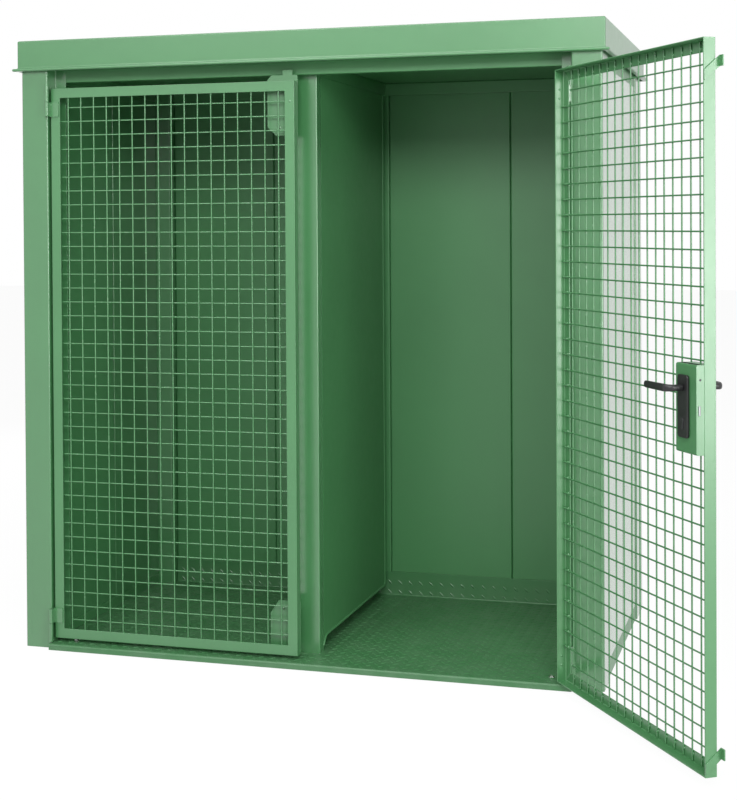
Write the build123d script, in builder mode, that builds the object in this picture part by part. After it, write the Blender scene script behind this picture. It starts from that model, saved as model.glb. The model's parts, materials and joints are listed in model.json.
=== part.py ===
"""Gas cylinder container: two bays behind a pair of wire-mesh leaves.

Millimetres. +X is to the right seen from the front, +Y goes to the back wall
and +Z is up. The origin is on the ground at the centre of the footprint.
The right leaf stands open and the left leaf is shut, as in the photo.
"""

import os
from build123d import *

os.makedirs("parts", exist_ok=True)

# The body
BODY_WIDTH = 2094.0          # over the outer faces of the corner posts
BODY_DEPTH = 1160.0          # from the front faces of the posts to the rear ones
BODY_HEIGHT = 2096.0         # ground to the underside of the roof
SHEET = 3.0                  # folded sheet of posts, rails and roof
SKIN = 2.0                   # sheet of the wall panels
SEAM = 1.0                   # gap between two wall panels

# Corner posts
POST_FACE = 102.0            # width of a front post's face
POST_RETURN = 130.0          # depth of its outer side
JAMB_DEPTH = 66.0            # from its face back to the stop flange
STOP_FLANGE = 41.0           # width of the stop flange
REAR_POST_WIDTH = 165.0
REAR_POST_DEPTH = 188.0

# Walls and rails
SIDE_WALL = 100.0            # outer face of the posts to the inner face of a side wall
BACK_WALL = 138.0            # rear face of the posts to the inner face of the back wall
WALL_RECESS = 5.0            # walls stand this far inside the posts' outer faces
TOP_RAIL = 50.0              # height of the rails under the roof
BASE_RAIL = 60.0             # height of the rails at the ground
LINTEL = 48.0                # height of the rail over the doors
LINTEL_DEPTH = 34.0
BACK_SEAMS = (-440.0, 55.0, 551.0)

# Floor
FLOOR_TOP = 22.0
FLOOR_PLATE = 5.0
SILL_OUT = 30.0              # the sill stands this far in front of the posts
UPSTAND = 96.0               # the plate turned up along the back wall
BEARER_WIDTH = 60.0
BEARER_PITCH = 500.0
FIT = 2.0                    # gap left round the floor plate

# Partition between the bays
CENTRE_POST_FRONT = 110.0    # its face behind the faces of the corner posts
CENTRE_POST_WIDTH = 80.0
CENTRE_POST_DEPTH = 45.0
PARTITION_FOOT = 45.0        # air gap under the partition
PARTITION_BACK = 42.0        # air gap between the partition and the back wall
PARTITION_ROUND = 20.0       # rounded corner behind the foot of the centre post

# Roof
ROOF_HEIGHT = 101.0
ROOF_OVERHANG = 11.0
LIP_OUT = 15.0
LIP_HEIGHT = 10.0

# Leaves
LEAF_WIDTH = 925.0
LEAF_GAP = 20.0              # twice the left leaf's distance from the middle
LOCK_SIDE = 9.0              # the right leaf is wider by this much at its lock
LEAF_BOTTOM = 36.0
LEAF_HEIGHT = 1988.0
LEAF_DEPTH = 36.0
LEAF_SETBACK = 9.0           # outer face of a leaf behind the faces of the posts
LEG = 35.0                   # visible width of the frame angle
ANGLE = 4.0                  # its thickness

# Wire mesh
MESH_PITCH = 50.0
WIRE = 5.0
WIRES_UP = 17
WIRES_ACROSS = 38
MESH_SIDE = 30.0             # frame to the first upright wire on the hinge side
MESH_TOP = 35.0              # frame to the top wire
WIRE_LAP = 28.0              # wire ends lie this far on the frame

# Hinges
HINGE_FRONT = 12.0           # axis in front of the posts' faces
HINGE_SIDE = 7.0             # axis beside the edge of the leaf
KNUCKLE_R = 7.5
PIN_R = 4.0
PIN_PLAY = 0.05
HINGE_UPPER = 1974.0         # parting heights of the knuckles
HINGE_LOWER = 92.0
KNUCKLE_POST = 66.0          # length of the part on the post
KNUCKLE_LEAF = 52.0          # length of the part on the leaf
HINGE_PLATE = 5.0
OPEN_ANGLE = 124.0           # how far the right leaf stands open

# Stop plates of the left leaf
STOP_WIDTH = 110.0
STOP_HEIGHT = 209.0
STOP_RISE = 23.0             # above the leaf
STOP_LOW_HEIGHT = 181.0      # the lower plate, above the leaf's lower edge
STOP_TAB_WIDTH = 36.0
STOP_TAB = 18.0
STOP_TAB_LOW = 8.0
STOP_THICK = 4.0
STOP_BEVEL = 30.0

# Hooks of the right leaf
HOOK_TOP_Z = 1906.0
HOOK_LOW_Z = 44.0
HOOK_BAR = 30.0
HOOK_THICK = 4.0
HOOK_OUT = 14.0              # past the outer face of the leaf
HOOK_RISE = 40.0
HOOK_TIP = 20.0              # length of the bent tip along the leaf

# Lock
LOCK_LENGTH = 105.0          # along the leaf
LOCK_HEIGHT = 243.0
LOCK_PROUD = 24.0            # the case stands this far inside the frame
LOCK_BOTTOM = 904.0
LOCK_WALL = 2.0
LEVER_BACK = 62.0            # lever axis from the free edge of the leaf
LEVER_Z = 1082.0
PLATE_WIDTH = 54.0
PLATE_HEIGHT = 171.0
PLATE_BOTTOM = 946.0
PLATE_THICK = 8.0
SPINDLE_R = 5.0
NECK_R = 9.0
LEVER_LENGTH = 138.0
LEVER_HEIGHT = 22.0
LEVER_THICK = 11.0
LEVER_OFF = 40.0             # clear space between plate and lever
LATCH_Z = 1011.0
LATCH_HEIGHT = 26.0
LATCH_THICK = 16.0
LATCH_OUT = 3.0
LATCH_BODY = 50.0
LATCH_INSET = 6.0            # from the back of the lock case
LATCH_PLAY = 0.3

# Planes and edges that follow from them
FRONT = -BODY_DEPTH / 2
REAR = BODY_DEPTH / 2
SIDE = BODY_WIDTH / 2
JAMB = SIDE - POST_FACE
STOP_FACE = FRONT + JAMB_DEPTH
FLANGE_END = JAMB - STOP_FLANGE
WALL_IN = SIDE - SIDE_WALL
WALL_OUT = SIDE - WALL_RECESS
WALL_START = FRONT + POST_RETURN
BACK_IN = REAR - BACK_WALL
REAR_POST_FACE = REAR - REAR_POST_DEPTH
BACK_OUT = REAR - WALL_RECESS
REAR_POST_IN = SIDE - REAR_POST_WIDTH
RAIL_BOTTOM = BODY_HEIGHT - TOP_RAIL
LINTEL_BOTTOM = BODY_HEIGHT - LINTEL
CENTRE_FRONT = FRONT + CENTRE_POST_FRONT
CENTRE_REAR = CENTRE_FRONT + CENTRE_POST_DEPTH
CENTRE_SIDE = CENTRE_POST_WIDTH / 2
PARTITION_END = BACK_IN - PARTITION_BACK
ROOF_TOP = BODY_HEIGHT + ROOF_HEIGHT
ROOF_SIDE = SIDE + ROOF_OVERHANG
ROOF_FRONT = FRONT - ROOF_OVERHANG
ROOF_REAR = REAR + ROOF_OVERHANG
FREE_EDGE = LEAF_GAP / 2
LOCK_EDGE = FREE_EDGE - LOCK_SIDE
HINGE_EDGE = FREE_EDGE + LEAF_WIDTH
LEAF_TOP = LEAF_BOTTOM + LEAF_HEIGHT
LEAF_OUT = FRONT + LEAF_SETBACK
LEAF_IN = LEAF_OUT + LEAF_DEPTH
HINGE_X = HINGE_EDGE + HINGE_SIDE
HINGE_Y = FRONT - HINGE_FRONT
MESH_OUT = LEAF_OUT + ANGLE
FIRST_WIRE = HINGE_EDGE - LEG - MESH_SIDE
TOP_WIRE = LEAF_TOP - LEG - MESH_TOP
LEVER_X = LOCK_EDGE + LEVER_BACK
LOCK_BACK = LEAF_IN + LOCK_PROUD
LOCK_DEPTH = LOCK_BACK - MESH_OUT
LOCK_END = LOCK_EDGE + ANGLE
LOCK_FAR = LOCK_END + LOCK_LENGTH
LOCK_TOP = LOCK_BOTTOM + LOCK_HEIGHT
LATCH_FACE = LOCK_BACK - LATCH_INSET - LATCH_THICK

HINGE_AXIS = Axis((HINGE_X, HINGE_Y, 0), (0, 0, 1))


def block(x0, x1, y0, y1, z0, z1, mode=Mode.ADD):
    """Add or cut a block between two corners in the piece being built."""
    with Locations(((x0 + x1) / 2, (y0 + y1) / 2, (z0 + z1) / 2)):
        Box(x1 - x0, y1 - y0, z1 - z0, mode=mode)


def rod(radius, x, y, z0, z1, mode=Mode.ADD):
    """Add or cut an upright cylinder in the piece being built."""
    with Locations((x, y, z0)):
        Cylinder(radius, z1 - z0, align=(Align.CENTER, Align.CENTER, Align.MIN), mode=mode)


def save(shape, name):
    """Name a finished piece and write it out."""
    shape.label = name
    export_step(shape, f"parts/{name}.step")


def save_left(shape, name):
    """Write the left leaf's piece, which mirrors the right leaf's shut one."""
    save(mirror(shape, about=Plane.YZ), name)


def save_right(shape, name):
    """Write the right leaf's piece, swung open about its hinges."""
    save(shape.rotate(HINGE_AXIS, OPEN_ANGLE), name)


# Floor
# The plate is notched round the posts, turned down in front and up at the back.
with BuildPart() as floor_tray:
    with BuildSketch(Plane.XY.offset(FLOOR_TOP - FLOOR_PLATE)):
        with BuildLine():
            Polyline(
                (0, FRONT - SILL_OUT),
                (JAMB - FIT, FRONT - SILL_OUT),
                (JAMB - FIT, STOP_FACE - FIT),
                (FLANGE_END - FIT, STOP_FACE - FIT),
                (FLANGE_END - FIT, WALL_START + FIT),
                (WALL_IN - FIT, WALL_START + FIT),
                (WALL_IN - FIT, REAR_POST_FACE - FIT),
                (REAR_POST_IN - FIT, REAR_POST_FACE - FIT),
                (REAR_POST_IN - FIT, BACK_IN - FIT),
                (0, BACK_IN - FIT),
                close=True,
            )
        make_face()
        mirror(about=Plane.YZ)
    extrude(amount=FLOOR_PLATE)
    block(-JAMB + FIT, JAMB - FIT, FRONT - SILL_OUT, FRONT - SILL_OUT + FLOOR_PLATE, 0, FLOOR_TOP)
    block(-REAR_POST_IN + FIT, REAR_POST_IN - FIT, BACK_IN - FIT - FLOOR_PLATE, BACK_IN - FIT,
          FLOOR_TOP - FLOOR_PLATE, FLOOR_TOP + UPSTAND)
save(floor_tray.part, "floor_tray")

with BuildPart() as bearers:
    for x in (-BEARER_PITCH, 0.0, BEARER_PITCH):
        y0, y1, z1 = FRONT + FIT, BACK_IN - FLOOR_PLATE - FIT, FLOOR_TOP - FLOOR_PLATE
        block(x - BEARER_WIDTH / 2, x + BEARER_WIDTH / 2, y0, y1, 0, z1)
        block(x - BEARER_WIDTH / 2 + SHEET, x + BEARER_WIDTH / 2 - SHEET, y0, y1,
              SHEET, z1 - SHEET, Mode.SUBTRACT)
save(bearers.part, "floor_bearers")

# Posts
with BuildPart() as front_post:
    with BuildSketch():
        with BuildLine():
            Polyline(
                (SIDE, FRONT), (SIDE, WALL_START), (SIDE - SHEET, WALL_START),
                (SIDE - SHEET, FRONT + SHEET), (JAMB + SHEET, FRONT + SHEET),
                (JAMB + SHEET, STOP_FACE + SHEET), (FLANGE_END, STOP_FACE + SHEET),
                (FLANGE_END, STOP_FACE), (JAMB, STOP_FACE), (JAMB, FRONT),
                close=True,
            )
        make_face()
    extrude(amount=BODY_HEIGHT)
save(front_post.part, "front_post_right")
save_left(front_post.part, "front_post_left")

with BuildPart() as rear_post:
    block(REAR_POST_IN, SIDE, REAR_POST_FACE, REAR, 0, BODY_HEIGHT)
    block(REAR_POST_IN + SHEET, SIDE - SHEET, REAR_POST_FACE + SHEET, REAR - SHEET,
          0, BODY_HEIGHT, Mode.SUBTRACT)
save(rear_post.part, "rear_post_right")
save_left(rear_post.part, "rear_post_left")

with BuildPart() as centre_post:
    block(-CENTRE_SIDE, CENTRE_SIDE, CENTRE_FRONT, CENTRE_REAR, FLOOR_TOP, BODY_HEIGHT)
    block(-CENTRE_SIDE + SHEET, CENTRE_SIDE - SHEET, CENTRE_FRONT + SHEET, CENTRE_REAR,
          FLOOR_TOP, BODY_HEIGHT, Mode.SUBTRACT)
save(centre_post.part, "centre_post")

# Rails
with BuildPart() as lintel:
    block(-FLANGE_END, FLANGE_END, STOP_FACE, STOP_FACE + LINTEL_DEPTH, LINTEL_BOTTOM, BODY_HEIGHT)
    block(-FLANGE_END, FLANGE_END, STOP_FACE + SHEET, STOP_FACE + LINTEL_DEPTH - SHEET,
          LINTEL_BOTTOM + SHEET, BODY_HEIGHT - SHEET, Mode.SUBTRACT)
save(lintel.part, "front_lintel")

with BuildPart() as rear_rail_top:
    block(-REAR_POST_IN, REAR_POST_IN, BACK_IN, BACK_OUT, RAIL_BOTTOM, BODY_HEIGHT)
    block(-REAR_POST_IN, REAR_POST_IN, BACK_IN + SHEET, BACK_OUT - SHEET,
          RAIL_BOTTOM + SHEET, BODY_HEIGHT - SHEET, Mode.SUBTRACT)
save(rear_rail_top.part, "rear_rail_top")

with BuildPart() as rear_rail_base:
    block(-REAR_POST_IN, REAR_POST_IN, BACK_IN, BACK_OUT, 0, BASE_RAIL)
    block(-REAR_POST_IN, REAR_POST_IN, BACK_IN + SHEET, BACK_OUT - SHEET,
          SHEET, BASE_RAIL - SHEET, Mode.SUBTRACT)
save(rear_rail_base.part, "rear_rail_base")

for name, z0, z1 in (("side_rail_top", RAIL_BOTTOM, BODY_HEIGHT), ("side_rail_base", 0.0, BASE_RAIL)):
    with BuildPart() as side_rail:
        block(WALL_IN, WALL_OUT, WALL_START, REAR_POST_FACE, z0, z1)
        block(WALL_IN + SHEET, WALL_OUT - SHEET, WALL_START, REAR_POST_FACE,
              z0 + SHEET, z1 - SHEET, Mode.SUBTRACT)
    save(side_rail.part, name + "_right")
    save_left(side_rail.part, name + "_left")

with BuildPart() as partition_rail:
    block(-CENTRE_SIDE, CENTRE_SIDE, CENTRE_REAR, BACK_IN, RAIL_BOTTOM, BODY_HEIGHT)
    block(-CENTRE_SIDE + SHEET, CENTRE_SIDE - SHEET, CENTRE_REAR, BACK_IN,
          RAIL_BOTTOM + SHEET, BODY_HEIGHT - SHEET, Mode.SUBTRACT)
save(partition_rail.part, "partition_rail")

# Walls
# Every wall panel is a flat hollow case, open at its ends under the rails.
back_edges = (-REAR_POST_IN, *BACK_SEAMS, REAR_POST_IN)
for number, (x0, x1) in enumerate(zip(back_edges, back_edges[1:])):
    with BuildPart() as back_panel:
        x0, x1 = x0 + SEAM / 2, x1 - SEAM / 2
        block(x0, x1, BACK_IN, BACK_OUT, BASE_RAIL, RAIL_BOTTOM)
        block(x0 + SKIN, x1 - SKIN, BACK_IN + SKIN, BACK_OUT - SKIN,
              BASE_RAIL, RAIL_BOTTOM, Mode.SUBTRACT)
    save(back_panel.part, f"back_panel_{number + 1}")

side_panel_length = (REAR_POST_FACE - WALL_START) / 2
with BuildPart() as side_panels:
    for number in range(2):
        y0 = WALL_START + number * side_panel_length + SEAM / 2
        y1 = y0 + side_panel_length - SEAM
        block(WALL_IN, WALL_OUT, y0, y1, BASE_RAIL, RAIL_BOTTOM)
        block(WALL_IN + SKIN, WALL_OUT - SKIN, y0 + SKIN, y1 - SKIN, BASE_RAIL, RAIL_BOTTOM, Mode.SUBTRACT)
save(side_panels.part, "side_panels_right")
save_left(side_panels.part, "side_panels_left")

# The partition stops short of the floor and the back wall, so that air can pass.
with BuildPart() as partition:
    foot = FLOOR_TOP + PARTITION_FOOT
    block(-CENTRE_SIDE, CENTRE_SIDE, CENTRE_REAR, PARTITION_END, foot, RAIL_BOTTOM)
    block(-CENTRE_SIDE + SKIN, CENTRE_SIDE - SKIN, CENTRE_REAR + SKIN, PARTITION_END - SKIN,
          foot + SKIN, RAIL_BOTTOM, Mode.SUBTRACT)
    with BuildSketch(Plane.YZ.offset(-CENTRE_SIDE)):
        with BuildLine():
            Line((CENTRE_REAR, foot), (CENTRE_REAR, foot - PARTITION_ROUND))
            RadiusArc((CENTRE_REAR, foot - PARTITION_ROUND), (CENTRE_REAR + PARTITION_ROUND, foot),
                      PARTITION_ROUND)
            Line((CENTRE_REAR + PARTITION_ROUND, foot), (CENTRE_REAR, foot))
        make_face()
    extrude(amount=CENTRE_POST_WIDTH)
save(partition.part, "partition")

# Roof
with BuildPart() as roof_pan:
    block(-ROOF_SIDE, ROOF_SIDE, ROOF_FRONT, ROOF_REAR, BODY_HEIGHT, ROOF_TOP)
    block(-ROOF_SIDE - LIP_OUT, ROOF_SIDE + LIP_OUT, ROOF_FRONT - LIP_OUT, ROOF_REAR + LIP_OUT,
          BODY_HEIGHT - LIP_HEIGHT, BODY_HEIGHT)
    block(-ROOF_SIDE + SHEET, ROOF_SIDE - SHEET, ROOF_FRONT + SHEET, ROOF_REAR - SHEET,
          BODY_HEIGHT - LIP_HEIGHT, ROOF_TOP - SHEET, Mode.SUBTRACT)
save(roof_pan.part, "roof_pan")

with BuildPart() as roof_ceiling:
    block(-ROOF_SIDE + SHEET, ROOF_SIDE - SHEET, ROOF_FRONT + SHEET, ROOF_REAR - SHEET,
          BODY_HEIGHT, BODY_HEIGHT + SHEET)
save(roof_ceiling.part, "roof_ceiling")

# Leaf frames, modelled shut on the right-hand side
with BuildPart() as hinge_stile:
    block(HINGE_EDGE - LEG, HINGE_EDGE, LEAF_OUT, LEAF_OUT + ANGLE, LEAF_BOTTOM, LEAF_TOP)
    block(HINGE_EDGE - ANGLE, HINGE_EDGE, LEAF_OUT, LEAF_IN, LEAF_BOTTOM, LEAF_TOP)
save_left(hinge_stile.part, "left_leaf_hinge_stile")
save_right(hinge_stile.part, "right_leaf_hinge_stile")

LEAVES = (
    (FREE_EDGE, save_left, "left_leaf_"),
    (LOCK_EDGE, save_right, "right_leaf_"),
)
for edge, save_leaf, leaf in LEAVES:
    with BuildPart() as free_stile:
        block(edge, edge + LEG, LEAF_OUT, LEAF_OUT + ANGLE, LEAF_BOTTOM, LEAF_TOP)
        block(edge, edge + ANGLE, LEAF_OUT, LEAF_IN, LEAF_BOTTOM, LEAF_TOP)
    save_leaf(free_stile.part, leaf + "free_stile")

    with BuildPart() as leaf_rails:
        for z_edge, up in ((LEAF_BOTTOM, 1), (LEAF_TOP, -1)):
            z0, z1 = sorted((z_edge, z_edge + up * LEG))
            block(edge + LEG, HINGE_EDGE - LEG, LEAF_OUT, LEAF_OUT + ANGLE, z0, z1)
            z0, z1 = sorted((z_edge, z_edge + up * ANGLE))
            block(edge + ANGLE, HINGE_EDGE - ANGLE, LEAF_OUT + ANGLE, LEAF_IN, z0, z1)
            block(edge + LEG, HINGE_EDGE - LEG, LEAF_OUT, LEAF_IN, z0, z1)
    save_leaf(leaf_rails.part, leaf + "rails")

# Wire mesh, in an upper and a lower half
half = WIRES_ACROSS // 2
side_near = HINGE_EDGE - LEG + WIRE_LAP
bottom_wire = TOP_WIRE - (WIRES_ACROSS - 1) * MESH_PITCH
mesh_split = TOP_WIRE - (half - 0.5) * MESH_PITCH
for name, z_first, z_low, z_high in (
    ("mesh_upper", TOP_WIRE - (half - 1) * MESH_PITCH, mesh_split, LEAF_TOP - LEG + WIRE_LAP),
    ("mesh_lower", bottom_wire, LEAF_BOTTOM + LEG - WIRE_LAP, mesh_split),
):
    for edge, save_leaf, leaf in LEAVES:
        side_far = edge + LEG - WIRE_LAP
        with BuildPart() as mesh:
            with BuildSketch(Plane.XZ.offset(-MESH_OUT - WIRE)):
                middle = (z_low + z_high) / 2
                with Locations(*[(FIRST_WIRE - n * MESH_PITCH, middle) for n in range(WIRES_UP)]):
                    Rectangle(WIRE, z_high - z_low)
                middle = (side_near + side_far) / 2
                with Locations(*[(middle, z_first + n * MESH_PITCH) for n in range(half)]):
                    Rectangle(side_near - side_far, WIRE)
            extrude(amount=WIRE)
            # The right leaf's mesh ends at the lock.
            if edge == LOCK_EDGE:
                block(edge, LOCK_FAR, MESH_OUT - WIRE, MESH_OUT + 2 * WIRE, LOCK_BOTTOM, LOCK_TOP,
                      Mode.SUBTRACT)
        save_leaf(mesh.part, leaf + name)

# Hinges
# The post's knuckle stands over the leaf's at the top and under it at the bottom.
hinge_heights = (
    (HINGE_UPPER, HINGE_UPPER + KNUCKLE_POST, HINGE_UPPER - KNUCKLE_LEAF, HINGE_UPPER),
    (HINGE_LOWER - KNUCKLE_POST, HINGE_LOWER, HINGE_LOWER, HINGE_LOWER + KNUCKLE_LEAF),
)
with BuildPart() as post_knuckles:
    for side in (-1, 1):
        for z0, z1, leaf_z0, leaf_z1 in hinge_heights:
            rod(KNUCKLE_R, side * HINGE_X, HINGE_Y, z0, z1)
            rod(PIN_R, side * HINGE_X, HINGE_Y, min(z0, leaf_z0), max(z1, leaf_z1))
            x0, x1 = sorted((side * (JAMB + PIN_PLAY), side * (HINGE_X + KNUCKLE_R)))
            block(x0, x1, HINGE_Y, FRONT, z0, z1)
save(post_knuckles.part, "post_knuckles")

with BuildPart() as leaf_knuckles:
    for z0, z1, leaf_z0, leaf_z1 in hinge_heights:
        gap = PIN_PLAY
        low, high = (leaf_z0, leaf_z1 - gap) if leaf_z1 == z0 else (leaf_z0 + gap, leaf_z1)
        rod(KNUCKLE_R, HINGE_X, HINGE_Y, low, high)
        block(HINGE_EDGE, HINGE_EDGE + HINGE_SIDE - FIT, HINGE_Y, LEAF_OUT, low, high)
        block(HINGE_EDGE - LEG + ANGLE, HINGE_EDGE + HINGE_SIDE - FIT,
              LEAF_OUT - HINGE_PLATE, LEAF_OUT, low, high)
        rod(PIN_R + PIN_PLAY, HINGE_X, HINGE_Y, low, high, Mode.SUBTRACT)
save_left(leaf_knuckles.part, "left_leaf_knuckles")
save_right(leaf_knuckles.part, "right_leaf_knuckles")

# Stop plates inside the left leaf, mirrored over from the right
with BuildPart() as stop_plates:
    top = LEAF_TOP + STOP_RISE
    x0, x1 = FREE_EDGE, FREE_EDGE + STOP_WIDTH
    with BuildSketch(Plane.XZ.offset(-LEAF_IN - STOP_THICK)):
        with BuildLine():
            Polyline(
                (x0, top - STOP_HEIGHT), (x1 - STOP_BEVEL, top - STOP_HEIGHT),
                (x1, top - STOP_HEIGHT + STOP_BEVEL), (x1, top - STOP_BEVEL / 2),
                (x1 - STOP_BEVEL / 2, top), (x0 + 1.5 * STOP_TAB_WIDTH, top),
                (x0 + 1.5 * STOP_TAB_WIDTH, top + STOP_TAB), (x0 + STOP_TAB_WIDTH / 2, top + STOP_TAB),
                (x0 + STOP_TAB_WIDTH / 2, top), (x0, top),
                close=True,
            )
        make_face()
        with BuildLine():
            Polyline(
                (x0, LEAF_BOTTOM + STOP_LOW_HEIGHT), (x0, LEAF_BOTTOM),
                (x0 + STOP_TAB_WIDTH / 2, LEAF_BOTTOM), (x0 + STOP_TAB_WIDTH / 2, LEAF_BOTTOM - STOP_TAB_LOW),
                (x0 + STOP_TAB_WIDTH, LEAF_BOTTOM - STOP_TAB_LOW), (x0 + STOP_TAB_WIDTH, LEAF_BOTTOM),
                (x1, LEAF_BOTTOM), (x1, LEAF_BOTTOM + STOP_LOW_HEIGHT - 1.5 * STOP_BEVEL),
                (x1 - STOP_BEVEL, LEAF_BOTTOM + STOP_LOW_HEIGHT),
                close=True,
            )
        make_face()
    extrude(amount=STOP_THICK)
save_left(stop_plates.part, "left_leaf_stop_plates")

# Hooks on the free edge of the right leaf
with BuildPart() as hooks:
    for z in (HOOK_LOW_Z, HOOK_TOP_Z):
        y_tip = LEAF_OUT - HOOK_OUT
        with BuildSketch(Plane.YZ.offset(LOCK_EDGE - HOOK_THICK)):
            with BuildLine():
                Polyline(
                    (LEAF_IN, z), (LEAF_IN, z + HOOK_BAR), (y_tip, z + HOOK_RISE + HOOK_BAR),
                    (y_tip, z + HOOK_RISE), close=True,
                )
            make_face()
        extrude(amount=HOOK_THICK)
        block(LOCK_EDGE - HOOK_TIP, LOCK_EDGE, y_tip, y_tip + HOOK_THICK,
              z + HOOK_RISE, z + HOOK_RISE + HOOK_BAR)
save_right(hooks.part, "right_leaf_hooks")

# Lock
# The case fills the frame's depth. Its end is flush with the side of the free stile.
with BuildPart() as lock_case:
    block(LOCK_END, LOCK_FAR, MESH_OUT, LOCK_BACK, LOCK_BOTTOM, LOCK_TOP)
    block(LOCK_EDGE, LOCK_END, LEAF_IN, LOCK_BACK, LOCK_BOTTOM, LOCK_TOP)
    block(LOCK_EDGE + LEG, LOCK_FAR, LEAF_OUT, MESH_OUT, LOCK_BOTTOM, LOCK_TOP)
    block(LOCK_END + LOCK_WALL, LOCK_FAR - LOCK_WALL, MESH_OUT + LOCK_WALL, LOCK_BACK - LOCK_WALL,
          LOCK_BOTTOM + LOCK_WALL, LOCK_TOP - LOCK_WALL, Mode.SUBTRACT)
    block(LOCK_EDGE - LOCK_WALL, LOCK_END + 2 * LOCK_WALL, LATCH_FACE - LATCH_PLAY,
          LATCH_FACE + LATCH_THICK + LATCH_PLAY, LATCH_Z - LATCH_PLAY,
          LATCH_Z + LATCH_HEIGHT + LATCH_PLAY, Mode.SUBTRACT)
    with BuildSketch(Plane.XZ.offset(-LOCK_BACK - LOCK_WALL)):
        with Locations((LEVER_X, LEVER_Z)):
            Circle(SPINDLE_R + PIN_PLAY)
    extrude(amount=LOCK_DEPTH + ANGLE + 2 * LOCK_WALL, mode=Mode.SUBTRACT)
save_right(lock_case.part, "lock_case")

with BuildPart() as lock_plates:
    x0, x1 = LEVER_X - PLATE_WIDTH / 2, LEVER_X + PLATE_WIDTH / 2
    for y0, y1 in ((LOCK_BACK, LOCK_BACK + PLATE_THICK), (LEAF_OUT - PLATE_THICK, LEAF_OUT)):
        block(x0, x1, y0, y1, PLATE_BOTTOM, PLATE_BOTTOM + PLATE_HEIGHT)
    with BuildSketch(Plane.XZ.offset(-LOCK_BACK - 2 * PLATE_THICK)):
        with Locations((LEVER_X, LEVER_Z)):
            Circle(SPINDLE_R + PIN_PLAY)
    extrude(amount=LOCK_DEPTH + 8 * PLATE_THICK, mode=Mode.SUBTRACT)
save_right(lock_plates.part, "lock_plates")

with BuildPart() as latch_bolt:
    block(LOCK_EDGE - LATCH_OUT, LOCK_EDGE - LATCH_OUT + LATCH_BODY, LATCH_FACE, LATCH_FACE + LATCH_THICK,
          LATCH_Z, LATCH_Z + LATCH_HEIGHT)
save_right(latch_bolt.part, "latch_bolt")

with BuildPart() as lever:
    y_in = LOCK_BACK + PLATE_THICK + LEVER_OFF + LEVER_THICK
    y_out = LEAF_OUT - PLATE_THICK - LEVER_OFF - LEVER_THICK
    with BuildSketch(Plane.XZ.offset(-y_in)):
        with Locations((LEVER_X, LEVER_Z)):
            Circle(SPINDLE_R)
    extrude(amount=y_in - y_out)
    for y_far, depth in ((y_in, 1), (y_out, -1)):
        y_plane = max(y_far, y_far - depth * LEVER_THICK)
        with BuildSketch(Plane.XZ.offset(-y_plane)):
            with Locations((LEVER_X + (LEVER_LENGTH - LEVER_HEIGHT) / 2, LEVER_Z)):
                SlotOverall(LEVER_LENGTH, LEVER_HEIGHT)
        extrude(amount=LEVER_THICK)
        y_neck = max(y_far, y_far - depth * (LEVER_THICK + LEVER_OFF - FIT))
        with BuildSketch(Plane.XZ.offset(-y_neck)):
            with Locations((LEVER_X, LEVER_Z)):
                Circle(NECK_R)
        extrude(amount=LEVER_THICK + LEVER_OFF - FIT)
save_right(lever.part, "lever_handle")
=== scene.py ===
"""Gas cylinder container: its looks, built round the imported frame.

Shapes are made in millimetres and scaled to metres when a piece is finished.
+X is to the right seen from the front, +Y goes to the back wall, +Z is up.
Leaf pieces are made for the right leaf as if it were shut, then swung open,
or mirrored over for the left leaf.
"""

import json
import math

import bmesh
import bpy
from mathutils import Matrix, Vector


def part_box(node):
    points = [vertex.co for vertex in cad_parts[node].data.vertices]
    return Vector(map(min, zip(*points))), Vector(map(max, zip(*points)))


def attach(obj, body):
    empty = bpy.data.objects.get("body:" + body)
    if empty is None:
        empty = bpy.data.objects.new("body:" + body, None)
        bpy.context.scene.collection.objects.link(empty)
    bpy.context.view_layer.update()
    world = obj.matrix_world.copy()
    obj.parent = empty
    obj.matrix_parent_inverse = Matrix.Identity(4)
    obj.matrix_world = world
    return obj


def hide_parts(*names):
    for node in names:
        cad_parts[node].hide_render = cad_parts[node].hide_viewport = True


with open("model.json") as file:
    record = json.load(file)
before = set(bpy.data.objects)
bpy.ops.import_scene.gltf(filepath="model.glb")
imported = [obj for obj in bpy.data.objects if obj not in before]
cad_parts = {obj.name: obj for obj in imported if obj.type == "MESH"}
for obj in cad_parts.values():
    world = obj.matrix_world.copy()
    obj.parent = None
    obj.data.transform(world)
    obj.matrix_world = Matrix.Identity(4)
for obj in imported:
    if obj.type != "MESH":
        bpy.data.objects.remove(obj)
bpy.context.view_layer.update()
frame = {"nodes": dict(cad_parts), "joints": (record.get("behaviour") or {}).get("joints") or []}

MM = 0.001
JOINTS = {joint["name"]: joint for joint in frame["joints"]}


def span(node):
    """A CAD node's box in millimetres: x0, y0, z0, x1, y1, z1."""
    low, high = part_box(node)
    return [round(value / MM, 3) for value in (*low, *high)]


# The cabinet's planes, taken from the frame
FLANGE_END, FRONT, _, SIDE, WALL_START, BODY_HEIGHT = span("front_post_right")
REAR_POST_IN, REAR_POST_FACE, _, _, REAR, _ = span("rear_post_right")
WALL_IN, _, WALL_LOW, WALL_OUT, _, WALL_HIGH = span("side_panels_right")
BACK_IN = span("back_panel_1")[1]
LIP_SIDE, LIP_REAR, ROOF_TOP = span("roof_pan")[3:]
LIP_FRONT, LIP_LOW = span("roof_pan")[1:3]
SILL_FRONT = span("floor_tray")[1]
UPSTAND_TOP = span("floor_tray")[5]
SHEET = 3.0
JAMB, JAMB_DEPTH = 945.0, 66.0
STOP_FACE = FRONT + JAMB_DEPTH
FLOOR_TOP, FLOOR_PLATE, FIT = 22.0, 5.0, 2.0
LIP_OUT = 15.0

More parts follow.
